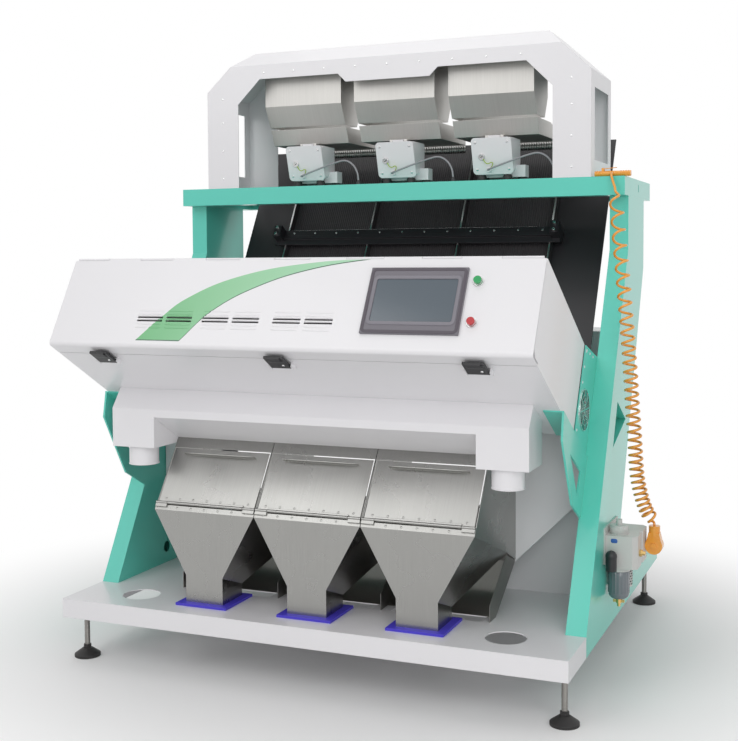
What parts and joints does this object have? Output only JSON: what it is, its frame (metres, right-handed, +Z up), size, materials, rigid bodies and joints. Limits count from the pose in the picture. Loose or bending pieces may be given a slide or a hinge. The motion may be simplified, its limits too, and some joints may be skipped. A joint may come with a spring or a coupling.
{
  "type": "optical colour sorter",
  "caption": "Free-standing grain colour sorter: feed hoppers, vibrating trays, steep chutes, tilted optics box with lift-up door, product hoppers and air unit.",
  "frame": {"origin": "on the floor under the middle of the machine's box, the hose and gun left out", "axes": "+X to the machine's right as an operator faces it, -Y towards the operator, +Z up"},
  "size_m": [1.776, 1.5576, 2.014],
  "materials": {
    "white_paint": "satin powder coat",
    "green_paint": "gloss turquoise-green powder coat",
    "black_paint": "satin black",
    "dark_chute": "dark hard-anodised chute",
    "stainless": "brushed stainless sheet",
    "dull_steel": "dull stainless sheet",
    "machined_aluminium": "machined",
    "window_glass": "clear window",
    "bezel_plastic": "fine grain",
    "screen_plastic": "dark glossy screen",
    "green_button": "moulded",
    "red_button": "moulded",
    "black_plastic": "moulded",
    "blue_gasket": "soft seal",
    "pale_casting": "painted casting",
    "grey_plastic": "smoked bowl",
    "brass": "turned",
    "orange_plastic": "polyurethane",
    "bright_wire": "chromed wire",
    "grey_lead": "cable sheath",
    "foot_rubber": "levelling foot"
  },
  "bodies": {
    "machine": {"base_tray": "white_paint", "base_deck": "white_paint", "left_side_frame": "green_paint", "right_side_frame": "green_paint", "top_frame": "green_paint", "left_side_plate": "green_paint", "right_side_plate": "green_paint", "rear_wall": "white_paint", "rear_box": "white_paint", "ejector_bar": "machined_aluminium", "front_box": "white_paint", "front_glass": "window_glass", "camera_sets": "machined_aluminium", "chute_panel": "black_paint", "chute_bank": "dark_chute", "clamp_bar": "black_paint", "outlet_seals": "blue_gasket", "fan_guards": "bright_wire", "drive_leads": "grey_lead", "reject_trough": "dull_steel", "dust_duct": "white_paint", "top_cover": "white_paint", "air_blocks": "pale_casting", "filter_bowl": "grey_plastic", "inlet_elbow": "black_plastic", "hose_swivel": "orange_plastic", "spiral_hose": "orange_plastic", "hose_tail": "orange_plastic", "air_gun": "orange_plastic", "hopper_left": "stainless", "feed_hopper_left": "stainless", "feeder_drive_left": "white_paint", "hopper_middle": "stainless", "feed_hopper_middle": "stainless", "feeder_drive_middle": "white_paint", "hopper_right": "stainless", "feed_hopper_right": "stainless", "feeder_drive_right": "white_paint"},
    "door": {"front_door": "white_paint", "screen_bezel": "bezel_plastic", "screen_glass": "screen_plastic"},
    "left_fan": {"left_fan": "black_plastic"},
    "right_fan": {"right_fan": "black_plastic"},
    "start_button": {"start_button": "green_button"},
    "stop_button": {"stop_button": "red_button"},
    "latch_left": {"latch_left": "black_plastic"},
    "latch_middle": {"latch_middle": "black_plastic"},
    "latch_right": {"latch_right": "black_plastic"},
    "drain_cock": {"drain_cock": "brass"},
    "gun_trigger": {"gun_trigger": "orange_plastic"},
    "foot_front_left": {"foot_front_left": "foot_rubber"},
    "foot_front_right": {"foot_front_right": "foot_rubber"},
    "foot_rear_left": {"foot_rear_left": "foot_rubber"},
    "foot_rear_right": {"foot_rear_right": "foot_rubber"},
    "hopper_door_left": {"hopper_door_left": "stainless"},
    "hopper_door_middle": {"hopper_door_middle": "stainless"},
    "hopper_door_right": {"hopper_door_right": "stainless"},
    "feeder_tray_left": {"feeder_tray_left": "stainless"},
    "feeder_tray_middle": {"feeder_tray_middle": "stainless"},
    "feeder_tray_right": {"feeder_tray_right": "stainless"}
  },
  "joints": [
    {"name": "door_hinge", "type": "hinge", "parent": "machine", "child": "door", "pos_m": [-0.069, -0.63373, 1.26888], "axis": [-1, 0, 0], "range_deg": [0, 75]},
    {"name": "latch_left_pivot", "type": "hinge", "parent": "machine", "child": "latch_left", "pos_m": [-0.649, -0.71099, 0.96707], "axis": [1, 0, 0], "range_deg": [0, 80]},
    {"name": "latch_middle_pivot", "type": "hinge", "parent": "machine", "child": "latch_middle", "pos_m": [-0.069, -0.71099, 0.96707], "axis": [1, 0, 0], "range_deg": [0, 80]},
    {"name": "latch_right_pivot", "type": "hinge", "parent": "machine", "child": "latch_right", "pos_m": [0.511, -0.71099, 0.96707], "axis": [1, 0, 0], "range_deg": [0, 80]},
    {"name": "start_press", "type": "slide", "parent": "door", "child": "start_button", "axis": [0, 0.866, -0.5], "range_m": [0, 0.004], "stiffness_N_per_m": 800},
    {"name": "stop_press", "type": "slide", "parent": "door", "child": "stop_button", "axis": [0, 0.866, -0.5], "range_m": [0, 0.004], "stiffness_N_per_m": 800},
    {"name": "hopper_door_left_hinge", "type": "hinge", "parent": "machine", "child": "hopper_door_left", "pos_m": [-0.417, -0.55485, 0.51432], "axis": [1, 0, 0], "range_deg": [0, 100]},
    {"name": "hopper_door_middle_hinge", "type": "hinge", "parent": "machine", "child": "hopper_door_middle", "pos_m": [-0.069, -0.55485, 0.51432], "axis": [1, 0, 0], "range_deg": [0, 100]},
    {"name": "hopper_door_right_hinge", "type": "hinge", "parent": "machine", "child": "hopper_door_right", "pos_m": [0.279, -0.55485, 0.51432], "axis": [1, 0, 0], "range_deg": [0, 100]},
    {"name": "left_fan_spin", "type": "hinge", "parent": "machine", "child": "left_fan", "pos_m": [-0.802, -0.20851, 0.81551], "axis": [1, 0, 0], "continuous": true},
    {"name": "right_fan_spin", "type": "hinge", "parent": "machine", "child": "right_fan", "pos_m": [0.664, -0.20851, 0.81551], "axis": [1, 0, 0], "continuous": true},
    {"name": "feeder_tray_left_shake", "type": "slide", "parent": "machine", "child": "feeder_tray_left", "axis": [0, 1, 0], "range_m": [-0.0015, 0.0015], "stiffness_N_per_m": 20000},
    {"name": "feeder_tray_middle_shake", "type": "slide", "parent": "machine", "child": "feeder_tray_middle", "axis": [0, 1, 0], "range_m": [-0.0015, 0.0015], "stiffness_N_per_m": 20000},
    {"name": "feeder_tray_right_shake", "type": "slide", "parent": "machine", "child": "feeder_tray_right", "axis": [0, 1, 0], "range_m": [-0.0015, 0.0015], "stiffness_N_per_m": 20000},
    {"name": "foot_front_left_turn", "type": "hinge", "parent": "machine", "child": "foot_front_left", "pos_m": [-0.847, -0.5712, 0], "axis": [0, 0, 1], "continuous": true},
    {"name": "foot_front_right_turn", "type": "hinge", "parent": "machine", "child": "foot_front_right", "pos_m": [0.709, -0.5712, 0], "axis": [0, 0, 1], "continuous": true},
    {"name": "foot_rear_left_turn", "type": "hinge", "parent": "machine", "child": "foot_rear_left", "pos_m": [-0.847, 0.6788, 0], "axis": [0, 0, 1], "continuous": true},
    {"name": "foot_rear_right_turn", "type": "hinge", "parent": "machine", "child": "foot_rear_right", "pos_m": [0.709, 0.6788, 0], "axis": [0, 0, 1], "continuous": true},
    {"name": "drain_turn", "type": "hinge", "parent": "machine", "child": "drain_cock", "pos_m": [0.775, -0.1552, 0.235], "axis": [0, 0, 1], "range_deg": [0, 90]},
    {"name": "trigger_press", "type": "hinge", "parent": "machine", "child": "gun_trigger", "pos_m": [0.666, 0.1198, 1.549], "axis": [0, 1, 0], "range_deg": [0, 5], "stiffness_Nm_per_rad": 1}
  ]
}
